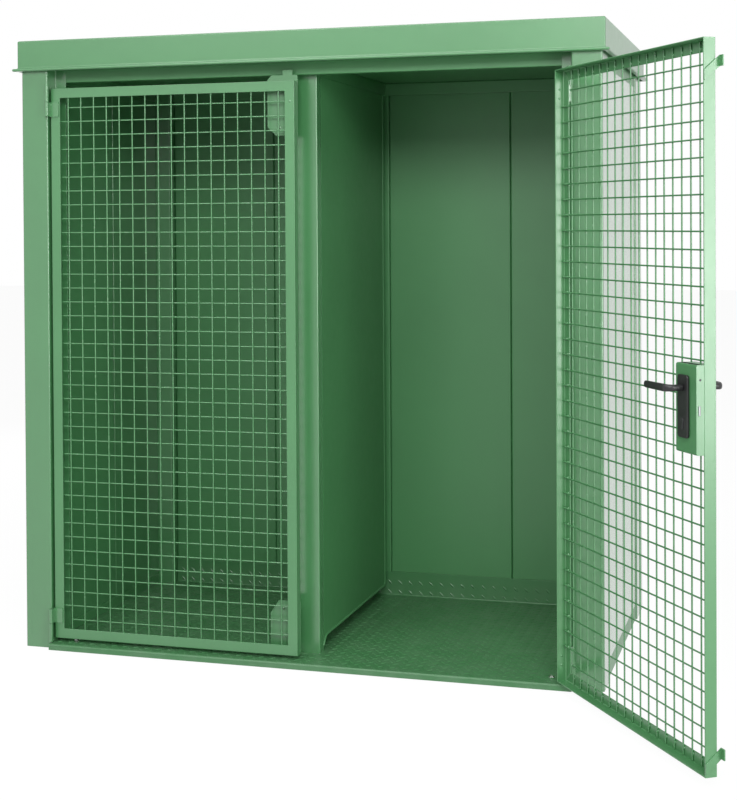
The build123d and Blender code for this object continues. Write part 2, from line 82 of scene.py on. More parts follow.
# The leaves' planes
FREE_EDGE = -span("left_leaf_free_stile")[3]
LEG = -span("left_leaf_free_stile")[0] - FREE_EDGE
LEAF_OUT, LEAF_BOTTOM = span("left_leaf_free_stile")[1:3]
LEAF_IN, LEAF_TOP = span("left_leaf_free_stile")[4:]
HINGE_EDGE = -span("left_leaf_hinge_stile")[0]
ANGLE = 4.0
WIRE, PITCH = 5.0, 50.0
MESH_OUT = LEAF_OUT + ANGLE
UPRIGHT_Y = MESH_OUT + WIRE / 2
ACROSS_Y = UPRIGHT_Y + WIRE * 0.9
WIRE_SIDE, WIRE_BELOW = 30.0, 35.0
FIRST_WIRE = HINGE_EDGE - LEG - WIRE_SIDE
TOP_WIRE = LEAF_TOP - LEG - WIRE_BELOW
WIRES_UP, WIRES_ACROSS = 17, 38
LAP = 29.0
HINGE_X, HINGE_Y = (value / MM for value in JOINTS["right_door_hinge"]["pos_m"][:2])
OPEN_ANGLE = -JOINTS["right_door_hinge"]["range_deg"][0]

# The lock's planes
LOCK_SIDE, LOCK_PROUD, LOCK_LENGTH = 9.0, 24.0, 105.0
LOCK_EDGE = FREE_EDGE - LOCK_SIDE
EDGES = {"left": FREE_EDGE, "right": LOCK_EDGE}
LOCK_BACK = LEAF_IN + LOCK_PROUD
LOCK_FAR = LOCK_EDGE + ANGLE + LOCK_LENGTH
LOCK_LOW, LOCK_HIGH = 904.0, 1147.0
LATCH_DEPTH, LATCH_THICK, LATCH_OUT, LATCH_LONG = 22.0, 16.0, 3.0, 50.0
LATCH_FACE = LOCK_BACK - LATCH_DEPTH
LATCH_LOW, LATCH_HIGH = 1011.0, 1037.0
LEVER_BACK, LEVER_Z = 62.0, 1082.0
LEVER_X = LOCK_EDGE + LEVER_BACK
LEVER_REACH, LEVER_OFF, LEVER_THICK = 127.0, 40.0, 11.0
PLATE_LOW, PLATE_HIGH, PLATE_THICK, PLATE_HALF = 946.0, 1117.0, 8.0, 27.0
KEY_Z = 992.0

PIVOT = Vector((HINGE_X, HINGE_Y, 0.0))
PLACES = {
    None: Matrix.Identity(4),
    "left": Matrix.Scale(-1, 4, (1, 0, 0)),
    "right": Matrix.Translation(PIVOT) @ Matrix.Rotation(math.radians(OPEN_ANGLE), 4, "Z")
    @ Matrix.Translation(-PIVOT),
}


def fillet(points, radius, steps=3):
    """Round the corners of a closed outline. The radius is one number or one for each corner."""
    radii = radius if isinstance(radius, (list, tuple)) else [radius] * len(points)
    rounded = []
    for index, (point, size) in enumerate(zip(points, radii)):
        corner = Vector(point)
        before = Vector(points[index - 1]) - corner
        after = Vector(points[(index + 1) % len(points)]) - corner
        half = before.angle(after) / 2
        if size <= 0 or half > math.radians(88):
            rounded.append(tuple(corner))
            continue
        reach = min(size / math.tan(half), 0.46 * before.length, 0.46 * after.length)
        before.normalize()
        after.normalize()
        used = reach * math.tan(half)
        centre = corner + (before + after).normalized() * (used / math.sin(half))
        first = (corner + before * reach - centre).normalized()
        last = (corner + after * reach - centre).normalized()
        for step in range(steps + 1):
            share = step / steps
            rounded.append(tuple(centre + (first * (1 - share) + last * share).normalized() * used))
    return rounded


def rectangle(u0, u1, v0, v1):
    return [(u0, v0), (u1, v0), (u1, v1), (u0, v1)]


def place(axis, u, v, w):
    """The point at (u, v) across an axis and w along it."""
    return {"x": (w, u, v), "y": (u, w, v), "z": (u, v, w)}[axis]


class Form:
    """The points and faces of one piece, in millimetres."""

    def __init__(self):
        self.points, self.faces = [], []

    def add(self, points, faces):
        start = len(self.points)
        self.points += [tuple(point) for point in points]
        self.faces += [[start + index for index in face] for face in faces]

    def rings(self, rings, closed=False):
        """Skin rings that have the same number of points, and cap the ends of an open row."""
        count, last = len(rings[0]), len(rings) - 1
        pairs = [(index, index + 1) for index in range(last)] + ([(last, 0)] if closed else [])
        faces = [
            (a * count + k, a * count + (k + 1) % count, b * count + (k + 1) % count, b * count + k)
            for a, b in pairs for k in range(count)
        ]
        if not closed:
            faces.append(tuple(range(count))[::-1])
            faces.append(tuple(range(last * count, (last + 1) * count)))
        self.add([point for ring in rings for point in ring], faces)

    def prism(self, outline, axis, start, end):
        """Run a closed outline along an axis."""
        self.rings([[place(axis, u, v, w) for u, v in outline] for w in (start, end)])

    def box(self, x0, y0, z0, x1, y1, z1, axis="z", radius=2.0, steps=3):
        """A box whose edges along the axis are rounded."""
        ranges = {"x": (x0, x1), "y": (y0, y1), "z": (z0, z1)}
        start, end = ranges.pop(axis)
        (u0, u1), (v0, v1) = ranges.values()
        self.prism(fillet(rectangle(u0, u1, v0, v1), radius, steps), axis, start, end)

    def lathe(self, profile, centre, axis, count=20):
        """Turn a profile of (radius, height) about an axis through a centre."""
        cu, cv, cw = {"x": (1, 2, 0), "y": (0, 2, 1), "z": (0, 1, 2)}[axis]
        turns = [2 * math.pi * k / count for k in range(count)]
        self.rings([
            [place(axis, centre[cu] + r * math.cos(t), centre[cv] + r * math.sin(t), centre[cw] + h)
             for t in turns]
            for r, h in profile
        ])

    def dome(self, centre, axis, radius, height, count=12):
        """A low domed head that stands on a face. A negative height points the other way."""
        self.lathe([(radius, -0.3 * height), (radius, 0.12 * height), (radius * 0.86, height * 0.6),
                    (radius * 0.5, height * 0.93), (radius * 0.06, height)], centre, axis, count)


def make(name, form, body, finish, nodes=(), side=None, bevel=0.0, segments=2, crease=38):
    """Turn a form into a piece that rides on a body and stands for CAD nodes."""
    mesh = bpy.data.meshes.new(name)
    matrix = Matrix.Scale(MM, 4) @ PLACES[side]
    mesh.from_pydata([tuple(matrix @ Vector(point)) for point in form.points], [], form.faces)
    work = bmesh.new()
    work.from_mesh(mesh)
    bmesh.ops.recalc_face_normals(work, faces=work.faces)
    work.to_mesh(mesh)
    work.free()
    mesh.shade_smooth()
    piece = bpy.data.objects.new(name, mesh)
    bpy.context.scene.collection.objects.link(piece)
    if bevel:
        edge = piece.modifiers.new("edges", "BEVEL")
        edge.width, edge.segments = bevel * MM, segments
        edge.limit_method, edge.angle_limit = "ANGLE", math.radians(crease)
    else:
        mesh.set_sharp_from_angle(angle=math.radians(crease))
    normals = piece.modifiers.new("normals", "WEIGHTED_NORMAL")
    normals.keep_sharp, normals.weight = True, 80
    mesh.materials.append(finish)
    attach(piece, body)
    if nodes:
        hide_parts(*nodes)
    return piece


# Materials

class Shader:
    """A procedural material built from a few linked nodes."""

    def __init__(self, name):
        self.material = bpy.data.materials.new(name)
        self.material.use_nodes = True
        self.nodes, self.links = self.material.node_tree.nodes, self.material.node_tree.links
        self.bsdf = self.nodes["Principled BSDF"]
        self.place = self.nodes.new("ShaderNodeTexCoord").outputs["Object"]

    def noise(self, scale, detail=3.0, distortion=0.0):
        node = self.nodes.new("ShaderNodeTexNoise")
        node.inputs["Scale"].default_value = scale
        node.inputs["Detail"].default_value = detail
        node.inputs["Distortion"].default_value = distortion
        self.links.new(self.place, node.inputs["Vector"])
        return node.outputs["Fac"]

    def remap(self, value, low, high, out_low, out_high):
        node = self.nodes.new("ShaderNodeMapRange")
        sockets = ("From Min", "From Max", "To Min", "To Max")
        for socket, number in zip(sockets, (low, high, out_low, out_high)):
            node.inputs[socket].default_value = number
        self.links.new(value, node.inputs["Value"])
        return node.outputs["Result"]

    def mix(self, share, first, second):
        node = self.nodes.new("ShaderNodeMix")
        node.data_type = "RGBA"
        self.links.new(share, node.inputs["Factor"])
        for socket, colour in ((node.inputs["A"], first), (node.inputs["B"], second)):
            if isinstance(colour, tuple):
                socket.default_value = (*colour, 1.0)
            else:
                self.links.new(colour, socket)
        return node.outputs["Result"]

    def multiply(self, first, second):
        node = self.nodes.new("ShaderNodeMath")
        node.operation = "MULTIPLY"
        self.links.new(first, node.inputs[0])
        self.links.new(second, node.inputs[1])
        return node.outputs["Value"]

    def height(self):
        node = self.nodes.new("ShaderNodeSeparateXYZ")
        self.links.new(self.place, node.inputs["Vector"])
        return node.outputs["Z"]

    def bump(self, value, strength, distance):
        node = self.nodes.new("ShaderNodeBump")
        node.inputs["Strength"].default_value = strength
        node.inputs["Distance"].default_value = distance
        self.links.new(value, node.inputs["Height"])
        self.links.new(node.outputs["Normal"], self.bsdf.inputs["Normal"])


def tint(colour, factor):
    return tuple(channel * factor for channel in colour)


GREEN = (0.070, 0.255, 0.092)
DUST = (0.33, 0.40, 0.33)
COAT_ROUGHNESS = 0.14
PAINT_SPREAD, PLAIN_SPREAD = 0.02, 0.06
PEEL_DEPTH, GRAIN_DEPTH = 0.0006, 0.0003


def paint(name, roughness, gloss, coat=0.0, dust=0.05, dust_top=0.28, peel=0.03, painted_shade=1.0):
    """Green paint with soft clouds, a faint orange-peel skin and a little dust low down. The shade factor
    darkens the whole colour as painted shade.
    """
    shader = Shader(name)
    clouds = shader.noise(2.2, 4.0, distortion=0.4)
    patches = shader.noise(31.0, 5.0)
    colour = shader.mix(shader.remap(clouds, 0.3, 0.7, 0.0, 1.0), tint(GREEN, 0.95 * painted_shade),
                        tint(GREEN, 1.05 * painted_shade))
    colour = shader.mix(shader.remap(patches, 0.35, 0.75, 0.0, 0.05), colour, tint(GREEN, 1.2 * painted_shade))
    low = shader.remap(shader.height(), 0.0, dust_top, dust, 0.0)
    share = shader.multiply(low, shader.remap(shader.noise(17.0, 6.0), 0.35, 0.7, 0.2, 1.0))
    colour = shader.mix(share, colour, DUST)
    shader.links.new(colour, shader.bsdf.inputs["Base Color"])
    uneven = shader.remap(patches, 0.3, 0.7, roughness - PAINT_SPREAD, roughness + PAINT_SPREAD)
    shader.links.new(uneven, shader.bsdf.inputs["Roughness"])
    shader.bsdf.inputs["Specular IOR Level"].default_value = gloss
    shader.bsdf.inputs["Coat Weight"].default_value = coat
    shader.bsdf.inputs["Coat Roughness"].default_value = COAT_ROUGHNESS
    shader.bump(shader.noise(330.0, 2.0), peel, PEEL_DEPTH)
    return shader.material


def plain_finish(name, colour, roughness, grain, metallic=0.0, strength=0.15):
    """A moulded or plated finish with a fine grain and slightly uneven gloss."""
    shader = Shader(name)
    patches = shader.noise(45.0, 4.0)
    tone = shader.mix(shader.remap(patches, 0.3, 0.7, 0.0, 1.0), tint(colour, 0.88), tint(colour, 1.12))
    shader.links.new(tone, shader.bsdf.inputs["Base Color"])
    uneven = shader.remap(patches, 0.3, 0.7, roughness - PLAIN_SPREAD, roughness + PLAIN_SPREAD)
    shader.links.new(uneven, shader.bsdf.inputs["Roughness"])
    shader.bsdf.inputs["Metallic"].default_value = metallic
    shader.bump(shader.noise(grain), strength, GRAIN_DEPTH)
    return shader.material


BODY_PAINT = paint("body_paint", 0.24, 1.0, coat=0.7)
ROOF_PAINT = paint("roof_paint", 0.30, 1.0, coat=0.2)
DOOR_PAINT = paint("door_paint", 0.34, 1.0, coat=0.12)
WALL_PAINT = paint("wall_paint", 0.38, 0.7, dust=0.03)
GLOSS_PAINT = paint("partition_paint", 0.42, 0.9, dust=0.03, peel=0.015)
# The floor paint is the same green darkened to 0.82, as painted shade.
FLOOR_PAINT = paint("floor_paint", 0.36, 0.6, dust=0.16, dust_top=0.12, painted_shade=0.82)
WIRE_PAINT = paint("wire_paint", 0.26, 0.9, coat=0.3, dust=0.03)
PLASTIC = plain_finish("black_plastic", (0.016, 0.016, 0.017), 0.38, 1500.0)
ZINC = plain_finish("zinc_plate", (0.40, 0.41, 0.42), 0.48, 420.0, metallic=0.7)
DARK_STEEL = plain_finish("dark_steel", (0.055, 0.056, 0.058), 0.42, 700.0, metallic=0.5, strength=0.08)
ZINC_BRIGHT = plain_finish("bright_zinc", (0.75, 0.75, 0.74), 0.22, 600.0, metallic=1.0, strength=0.06)


# Roof
# One folded sheet: a top with rounded edges, the fascia, and a lip with a rounded nose.
ROOF_CORNER, ROOF_REACH, LIP_THICK = 4.0, 60.0, 10.0
ROOF_UNDERSIDE = BODY_HEIGHT + 1


def roof_ring(out, z):
    """The roof's plan at one point of the fold, which lies that far out from the fascia."""
    side, front, rear = (LIP_SIDE - LIP_OUT + out, LIP_FRONT + LIP_OUT - out, LIP_REAR - LIP_OUT + out)
    return [(x, y, z) for x, y in fillet(rectangle(-side, side, front, rear), ROOF_CORNER, 4)]


fold = fillet(
    [(-ROOF_REACH, ROOF_TOP), (0, ROOF_TOP), (0, LIP_LOW + LIP_THICK), (LIP_OUT, LIP_LOW + LIP_THICK),
     (LIP_OUT, LIP_LOW), (-SHEET, LIP_LOW), (-SHEET, ROOF_UNDERSIDE), (-ROOF_REACH, ROOF_UNDERSIDE)],
    [0, 5, 6, 4.6, 4.6, 0, 0, 0], 4)
roof = Form()
roof.rings([roof_ring(out, z) for out, z in fold])
make("roof", roof, "cabinet", ROOF_PAINT, ["roof_pan"])

# Posts
post_outline = fillet(
    [(SIDE, FRONT), (SIDE, WALL_START), (SIDE - SHEET, WALL_START), (SIDE - SHEET, FRONT + SHEET),
     (JAMB + SHEET, FRONT + SHEET), (JAMB + SHEET, STOP_FACE + SHEET), (FLANGE_END, STOP_FACE + SHEET),
     (FLANGE_END, STOP_FACE), (JAMB, STOP_FACE), (JAMB, FRONT)],
    [6, 0.6, 0.6, 3, 3, 5, 0.8, 0.8, 2.5, 6], 4)
front_posts, rear_posts = Form(), Form()
for way in (-1, 1):
    front_posts.prism([(way * x, y) for x, y in post_outline], "z", 0, BODY_HEIGHT)
    x0, x1 = sorted((way * REAR_POST_IN, way * SIDE))
    rear_posts.box(x0, REAR_POST_FACE, 0, x1, REAR, BODY_HEIGHT, "z", 6, 4)
make("front_posts", front_posts, "cabinet", BODY_PAINT, ["front_post_right", "front_post_left"])
make("rear_posts", rear_posts, "cabinet", BODY_PAINT, ["rear_post_right", "rear_post_left"])

middle_x0, middle_front, middle_foot, middle_x1, middle_rear, _ = span("centre_post")
middle_post = Form()
middle_post.prism(fillet(
    [(middle_x0, middle_front), (middle_x1, middle_front), (middle_x1, middle_rear),
     (middle_x1 - SHEET, middle_rear), (middle_x1 - SHEET, middle_front + SHEET),
     (middle_x0 + SHEET, middle_front + SHEET), (middle_x0 + SHEET, middle_rear), (middle_x0, middle_rear)],
    [5, 5, 0.6, 0.6, 2, 2, 0.6, 0.6], 4), "z", middle_foot, BODY_HEIGHT)
make("middle_post", middle_post, "cabinet", BODY_PAINT, ["centre_post"])

# Rails
lintel = Form()
lintel.box(*span("front_lintel"), "x", 3.5)
make("lintel", lintel, "cabinet", WALL_PAINT, ["front_lintel"])

rails, rail_nodes = Form(), []
for node, axis in (("rear_rail_top", "x"), ("rear_rail_base", "x"), ("partition_rail", "y"),
                   ("side_rail_top_right", "y"), ("side_rail_top_left", "y"),
                   ("side_rail_base_right", "y"), ("side_rail_base_left", "y")):
    rails.box(*span(node), axis, 4)
    rail_nodes.append(node)
make("rails", rails, "cabinet", WALL_PAINT, rail_nodes)

# Walls
# The rounded edges of neighbouring panels make the seams.
PANEL_ROUND, SEAM = 5.0, 0.5
back_wall, side_walls = Form(), Form()
for number in range(1, 5):
    back_wall.box(*span(f"back_panel_{number}"), "z", PANEL_ROUND)
make("back_wall", back_wall, "cabinet", WALL_PAINT, [f"back_panel_{number}" for number in range(1, 5)])
wall_middle = (WALL_START + REAR_POST_FACE) / 2
for way in (-1, 1):
    x0, x1 = sorted((way * WALL_IN, way * WALL_OUT))
    for y0, y1 in ((WALL_START, wall_middle), (wall_middle, REAR_POST_FACE)):
        side_walls.box(x0, y0 + SEAM, WALL_LOW, x1, y1 - SEAM, WALL_HIGH, "z", PANEL_ROUND)
make("side_walls", side_walls, "cabinet", BODY_PAINT, ["side_panels_right", "side_panels_left"])

# Partition
_, divider_front, divider_low, _, divider_rear, divider_top = span("partition")
FOOT_RISE, FOOT_ROUND = 20, 44
divider_foot = divider_low + FOOT_RISE
concave = []
for step in range(7):
    turn = math.radians(90 * step / 6)
    concave.append((divider_front + FOOT_ROUND * (1 - math.cos(turn)),
                    divider_foot - FOOT_ROUND * (1 - math.sin(turn))))
divider = Form()
divider.prism([*concave, (divider_rear, divider_foot), (divider_rear, divider_top),
               (divider_front, divider_top)], "x", middle_x0, middle_x1)
make("divider", divider, "cabinet", GLOSS_PAINT, ["partition"], bevel=3.0, segments=3, crease=50)

# A half-round bead runs on both faces along the curved foot, the lower edge and the rear edge.
BEAD_WIDE, BEAD_PROUD, BEAD_SUNK, BEAD_BEND = 9.0, 3.5, 0.3, 14
bead_round = FOOT_ROUND + BEAD_WIDE / 2
bead_y, bead_z = divider_rear - BEAD_WIDE / 2 - 1, divider_foot + BEAD_WIDE / 2
bead_line = []
for step in range(8):
    turn = math.radians(20 + 70 * step / 7)
    bead_line.append((divider_front + FOOT_ROUND - bead_round * math.cos(turn),
                      divider_foot - FOOT_ROUND + bead_round * math.sin(turn)))
for step in range(6):
    turn = math.radians(90 * step / 5)
    bead_line.append((bead_y - BEAD_BEND * (1 - math.sin(turn)), bead_z + BEAD_BEND * (1 - math.cos(turn))))
bead_line.append((bead_y, divider_top))


def bead(form, line, face, out):
    """A half-round bead along a line on the face at x = face."""
    rings = []
    for index, (y, z) in enumerate(line):
        before, after = line[max(index - 1, 0)], line[min(index + 1, len(line) - 1)]
        way = Vector((after[0] - before[0], after[1] - before[1])).normalized()
        ring = []
        for k in range(9):
            turn = math.pi * k / 8
            across, rise = BEAD_WIDE / 2 * math.cos(turn), BEAD_PROUD * math.sin(turn) - BEAD_SUNK
            ring.append((face + out * rise, y - way.y * across, z + way.x * across))
        rings.append(ring)
    form.rings(rings)


beads = Form()
bead(beads, bead_line, middle_x0, -1)
bead(beads, bead_line, middle_x1, 1)
make("divider_beads", beads, "cabinet", GLOSS_PAINT, crease=60)

# Floor
# A tread plate that folds down over the sill and up along the back wall.
plate_low = FLOOR_TOP - FLOOR_PLATE
sill_x, inner_x, wall_x, rear_x = JAMB - FIT, FLANGE_END - FIT, WALL_IN - FIT, REAR_POST_IN - FIT
back_y = BACK_IN - FIT
BACK_FOLD = 25
tray = Form()
half_plan = [(sill_x, FRONT), (sill_x, STOP_FACE - FIT), (inner_x, STOP_FACE - FIT),
             (inner_x, WALL_START + FIT), (wall_x, WALL_START + FIT),
             (wall_x, REAR_POST_FACE - FIT), (rear_x, REAR_POST_FACE - FIT),
             (rear_x, back_y - BACK_FOLD)]
tray.prism(half_plan + [(-x, y) for x, y in reversed(half_plan)], "z", plate_low, FLOOR_TOP)
tray.prism(fillet([(FRONT, plate_low), (FRONT, FLOOR_TOP), (SILL_FRONT, FLOOR_TOP), (SILL_FRONT, 0),
                   (SILL_FRONT + FLOOR_PLATE, 0), (SILL_FRONT + FLOOR_PLATE, plate_low)],
                  [0, 0, 7, 1, 1, 2.5], 5), "x", -sill_x, sill_x)
upstand = fillet([(back_y - BACK_FOLD, FLOOR_TOP), (back_y - BACK_FOLD, plate_low), (back_y, plate_low),
                  (back_y, UPSTAND_TOP), (back_y - FLOOR_PLATE, UPSTAND_TOP),
                  (back_y - FLOOR_PLATE, FLOOR_TOP)], [0, 0, 10, 1.5, 1.5, 6], 5)
tray.prism(upstand, "x", -rear_x, rear_x)

TEAR_LONG, TEAR_WIDE, TEAR_HIGH = 29.0, 10.0, 2.2
TEAR_PITCH, TEAR_ROW, TEAR_CLEAR, TEAR_SUNK = 43.0, 21.0, 12, 0.4


def tear(form, u, v, lean, to_point):
    """One raised lens of the tread pattern at (u, v), leaning to one side."""
    turn = math.radians(45 * lean)
    along, across = Vector((math.cos(turn), math.sin(turn))), Vector((-math.sin(turn), math.cos(turn)))
    outline = [(-1, 0), (-0.62, 0.66), (0, 1), (0.62, 0.66), (1, 0), (0.62, -0.66), (0, -1), (-0.62, -0.66)]
    crown = [(-0.55, 0.1), (0, 0.3), (0.55, 0.1), (0.55, -0.1), (0, -0.3), (-0.55, -0.1)]

    def at(a, b, height):
        spot = Vector((u, v)) + along * (a * TEAR_LONG / 2) + across * (b * TEAR_WIDE / 2)
        return to_point(spot.x, spot.y, height)

    points = [at(a, b, -TEAR_SUNK) for a, b in outline] + [at(a, b, TEAR_HIGH) for a, b in crown]
    faces = [(0, 1, 8), (1, 2, 9, 8), (2, 3, 10, 9), (3, 4, 10), (4, 11, 10), (4, 5, 11), (5, 6, 12, 11),
             (6, 7, 13, 12), (7, 0, 13), (0, 8, 13), (8, 9, 10, 11, 12, 13), (7, 6, 5, 4, 3, 2, 1, 0)]
    form.add(points, faces)


def tear_rows(form, rows, u_low, u_high, first, to_point, blocked=lambda u, v: False):
    """Rows of tears that lean the one way and the other in turn, set off by half a pitch."""
    for number, v in rows:
        start = first + (TEAR_PITCH / 2 if number % 2 else 0)
        count = int((u_high - start) // TEAR_PITCH) + 1
        for step in range(-int((start - u_low) // TEAR_PITCH), count):
            u = start + step * TEAR_PITCH
            if u_low + TEAR_CLEAR < u < u_high - TEAR_CLEAR and not blocked(u, v):
                tear(form, u, v, -1 if number % 2 == 0 else 1, to_point)


def off_plate(x, y):
    """Whether a tear there would run over the plate's notches or under the middle post."""
    if y < STOP_FACE - TEAR_CLEAR:
        wide = sill_x
    elif y < WALL_START + FIT + TEAR_CLEAR:
        wide = inner_x
    elif y < REAR_POST_FACE - FIT - TEAR_CLEAR:
        wide = wall_x
    else:
        wide = rear_x
    near_post = abs(x) < middle_x1 + TEAR_CLEAR
    under_post = near_post and middle_front - TEAR_CLEAR < y < middle_rear + TEAR_CLEAR
    return abs(x) > wide - TEAR_CLEAR or under_post


FIRST_TEAR, ROW_MARGIN, FLOOR_ROWS = 93.0, 22, 48
UPSTAND_ROWS = [(0, 36.0), (2, 75.0)]
tread = Form()
floor_rows = [(number, SILL_FRONT + ROW_MARGIN + number * TEAR_ROW) for number in range(FLOOR_ROWS)]
tear_rows(tread, [row for row in floor_rows if row[1] < back_y - ROW_MARGIN], -wall_x, wall_x, FIRST_TEAR,
          lambda u, v, h: (u, v, FLOOR_TOP + h), off_plate)
tear_rows(tread, UPSTAND_ROWS, -rear_x, rear_x, FIRST_TEAR, lambda u, v, h: (u, back_y - FLOOR_PLATE - h, v))
make("tread_floor", tray, "cabinet", FLOOR_PAINT, ["floor_tray"])
make("tread_marks", tread, "cabinet", FLOOR_PAINT, crease=70)

# The floor goes on behind the door stops, inside the folded front posts.
CORNER_GAP, CORNER_LAP = 1, 1.5
floor_corners = Form()
hollow_in, hollow_out = JAMB + SHEET + CORNER_GAP, SIDE - SHEET - CORNER_GAP
behind_stop, behind_face = STOP_FACE + SHEET + CORNER_GAP, FRONT + SHEET + CORNER_GAP
corner_rear = WALL_START + CORNER_LAP
for way in (-1, 1):
    corner = [(inner_x, behind_stop), (hollow_in, behind_stop), (hollow_in, behind_face),
              (hollow_out, behind_face), (hollow_out, corner_rear), (inner_x, corner_rear)]
    floor_corners.prism([(way * x, y) for x, y in corner], "z", plate_low, FLOOR_TOP)
make("floor_corners", floor_corners, "cabinet", FLOOR_PAINT)

BOLT_X, BOLT_Y = 867.0, -535.0
bolts = Form()
for way in (-1, 1):
    spot = (way * BOLT_X, BOLT_Y, FLOOR_TOP)
    bolts.lathe([(12, -0.5), (12, 1.4), (10.8, 2.0), (6, 2.0)], spot, "z", 24)
    bolts.lathe([(9.2, 1.5), (9.2, 5.2), (8.0, 6.0), (1, 6.2)], spot, "z", 6)
make("floor_bolts", bolts, "cabinet", ZINC_BRIGHT, crease=30)

# Leaf frames
# One steel angle mitred round the leaf.
angle_profile = fillet([(0, LEAF_OUT), (LEG, LEAF_OUT), (LEG, LEAF_OUT + ANGLE), (ANGLE, LEAF_OUT + ANGLE),
                        (ANGLE, LEAF_IN), (0, LEAF_IN)], [1.2, 1.2, 1.8, 4, 1.8, 1.2], 3)


def leaf_frame(edge):
    def ring(x, z, in_x, in_z):
        return [(x + in_x * u, y, z + in_z * u) for u, y in angle_profile]

    form = Form()
    form.rings([ring(edge, LEAF_BOTTOM, 1, 1), ring(edge, LEAF_TOP, 1, -1),
                ring(HINGE_EDGE, LEAF_TOP, -1, -1), ring(HINGE_EDGE, LEAF_BOTTOM, -1, 1)], closed=True)
    return form


def wire_run(form, axis, u, v, start, end):
    """A straight eight-sided wire with chamfered ends."""
    turns = [2 * math.pi * (k + 0.5) / 8 for k in range(8)]
    length, tip, chamfer = end - start, WIRE * 0.36, 0.8
    rings = []
    for radius, along in ((tip, 0), (WIRE / 2, chamfer), (WIRE / 2, length - chamfer), (tip, length)):
        rings.append([place(axis, u + radius * math.cos(t), v + radius * math.sin(t), start + along)
                      for t in turns])
    form.rings(rings)


def leaf_mesh(edge, window):
    """Upright wires in front and wires across behind them, welded where they cross."""
    form = Form()
    low, high = LEAF_BOTTOM + LEG - LAP, LEAF_TOP - LEG + LAP
    near, far = HINGE_EDGE - LEG + LAP, edge + LEG - LAP
    for n in range(WIRES_UP):
        x = FIRST_WIRE - n * PITCH
        if window and x - WIRE < LOCK_FAR:
            wire_run(form, "z", x, UPRIGHT_Y, low, LOCK_LOW)
            wire_run(form, "z", x, UPRIGHT_Y, LOCK_HIGH, high)
        else:
            wire_run(form, "z", x, UPRIGHT_Y, low, high)
    for n in range(WIRES_ACROSS):
        z = TOP_WIRE - n * PITCH
        last = FIRST_WIRE + 2 if n in (0, WIRES_ACROSS - 1) else near
        first = LOCK_FAR if window and LOCK_LOW - WIRE < z < LOCK_HIGH + WIRE else far
        wire_run(form, "x", ACROSS_Y, z, first, last)
    return form


WELD_RADIUS, WELD_IN, WELD_HIGH = 5.0, 9, 2.6


def weld_spots(edge):
    """Small weld beads that hold the wires' ends on the frame, twice as high at the wires behind."""
    form = Form()
    for n in range(WIRES_UP):
        x = FIRST_WIRE - n * PITCH
        for z in (LEAF_BOTTOM + LEG - WELD_IN, LEAF_TOP - LEG + WELD_IN):
            form.dome((x, MESH_OUT, z), "y", WELD_RADIUS, WELD_HIGH, 8)
    for n in range(1, WIRES_ACROSS - 1):
        z = TOP_WIRE - n * PITCH
        for x in (HINGE_EDGE - LEG + WELD_IN, edge + LEG - WELD_IN):
            form.dome((x, MESH_OUT, z), "y", WELD_RADIUS, 2 * WELD_HIGH, 8)
    return form


def corner_welds(edge):
    """Short beads across the mitres on the inside of the frame's corners."""
    form = Form()
    for x, in_x in ((edge, 1), (HINGE_EDGE, -1)):
        for z, in_z in ((LEAF_BOTTOM, 1), (LEAF_TOP, -1)):
            for step in range(7):
                u = 6.0 + step * 4.2
                form.dome((x + in_x * u, LEAF_OUT + ANGLE, z + in_z * u), "y", 3.0, 1.5, 8)
    return form


# Hinges
KNUCKLE_POST, KNUCKLE_LEAF = 66.0, 52.0
HINGE_UPPER, HINGE_LOWER = 1974.0, 92.0
BARREL_RADIUS, PIN_RADIUS = 7.5, 4
POST_STRAP = 7.0
LEAF_STRAP, STRAP_THICK = 31, 5


def barrel(form, x, y, z0, z1):
    """A turned hinge barrel with a chamfer at each end."""
    high = z1 - z0
    form.lathe([(BARREL_RADIUS - 1.6, 0), (BARREL_RADIUS - 0.5, 0.5), (BARREL_RADIUS, 1.8),
                (BARREL_RADIUS, high - 1.8), (BARREL_RADIUS - 0.5, high - 0.5), (BARREL_RADIUS - 1.6, high)],
               (x, y, z0), "z", 28)


post_barrels = Form()
for way in (-1, 1):
    for z0, z1, pin_foot in ((HINGE_UPPER, HINGE_UPPER + KNUCKLE_POST, HINGE_UPPER - KNUCKLE_LEAF),
                             (HINGE_LOWER - KNUCKLE_POST, HINGE_LOWER, HINGE_LOWER)):
        barrel(post_barrels, way * HINGE_X, HINGE_Y, z0, z1)
        pin = [(PIN_RADIUS, 0), (PIN_RADIUS, KNUCKLE_LEAF - 0.5), (PIN_RADIUS - 1, KNUCKLE_LEAF)]
        post_barrels.lathe(pin, (way * HINGE_X, HINGE_Y, pin_foot), "z", 20)
        x0, x1 = sorted((way * (JAMB + 0.6), way * (HINGE_X + POST_STRAP)))
        post_barrels.box(x0, HINGE_Y, z0 + 1, x1, FRONT + 1, z1 - 1, "z", 1.2)
        for step in range(int((z1 - z0) // 5)):
            weld = (way * (HINGE_X + POST_STRAP + 0.4), FRONT, z0 + 3 + 5 * step)
            post_barrels.dome(weld, "y", 2.6, -1.6, 8)
make("post_hinge_barrels", post_barrels, "cabinet", BODY_PAINT, ["post_knuckles"])


def leaf_barrels():
    form = Form()
    strap_x = HINGE_EDGE + STRAP_THICK
    for z0, z1 in ((HINGE_UPPER - KNUCKLE_LEAF, HINGE_UPPER - 0.1),
                   (HINGE_LOWER + 0.1, HINGE_LOWER + KNUCKLE_LEAF)):
        barrel(form, HINGE_X, HINGE_Y, z0, z1)
        form.box(HINGE_EDGE, HINGE_Y, z0 + 1, strap_x, LEAF_OUT, z1 - 1, "z", 1.0)
        form.box(HINGE_EDGE - LEAF_STRAP, LEAF_OUT - STRAP_THICK, z0, strap_x, LEAF_OUT, z1, "z", 1.2)
    return form


STUD_Y = -550.0
STUD_HEIGHTS = (1960.0, 1931.0, 120.0, 91.0)


